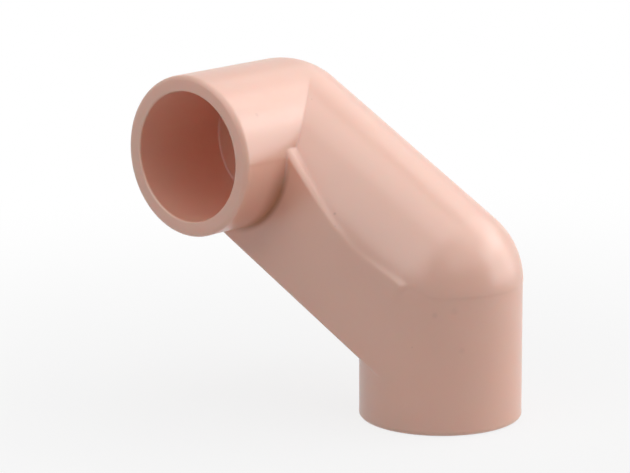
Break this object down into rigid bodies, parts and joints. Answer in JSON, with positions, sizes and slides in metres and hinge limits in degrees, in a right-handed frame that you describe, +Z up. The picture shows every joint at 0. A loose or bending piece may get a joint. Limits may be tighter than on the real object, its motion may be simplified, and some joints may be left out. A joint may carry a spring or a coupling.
{
  "type": "pipe corner connector",
  "caption": "Moulded plastic corner connector: a sloping arm carries an upright socket for a post and a level socket for a rail, set off to one side.",
  "frame": {"origin": "centre of the flat end face inside the upright socket, where the post tube's end seats", "axes": "+Z up along the upright socket, whose mouth faces -Z; the level socket's mouth faces -X; the arm rises from the upright socket towards +Y"},
  "size_m": [0.048, 0.0815, 0.073],
  "materials": {
    "plastic": "satin moulded plastic, pale salmon pink"
  },
  "bodies": {
    "root": {"corner_connector": "plastic"}
  },
  "joints": []
}
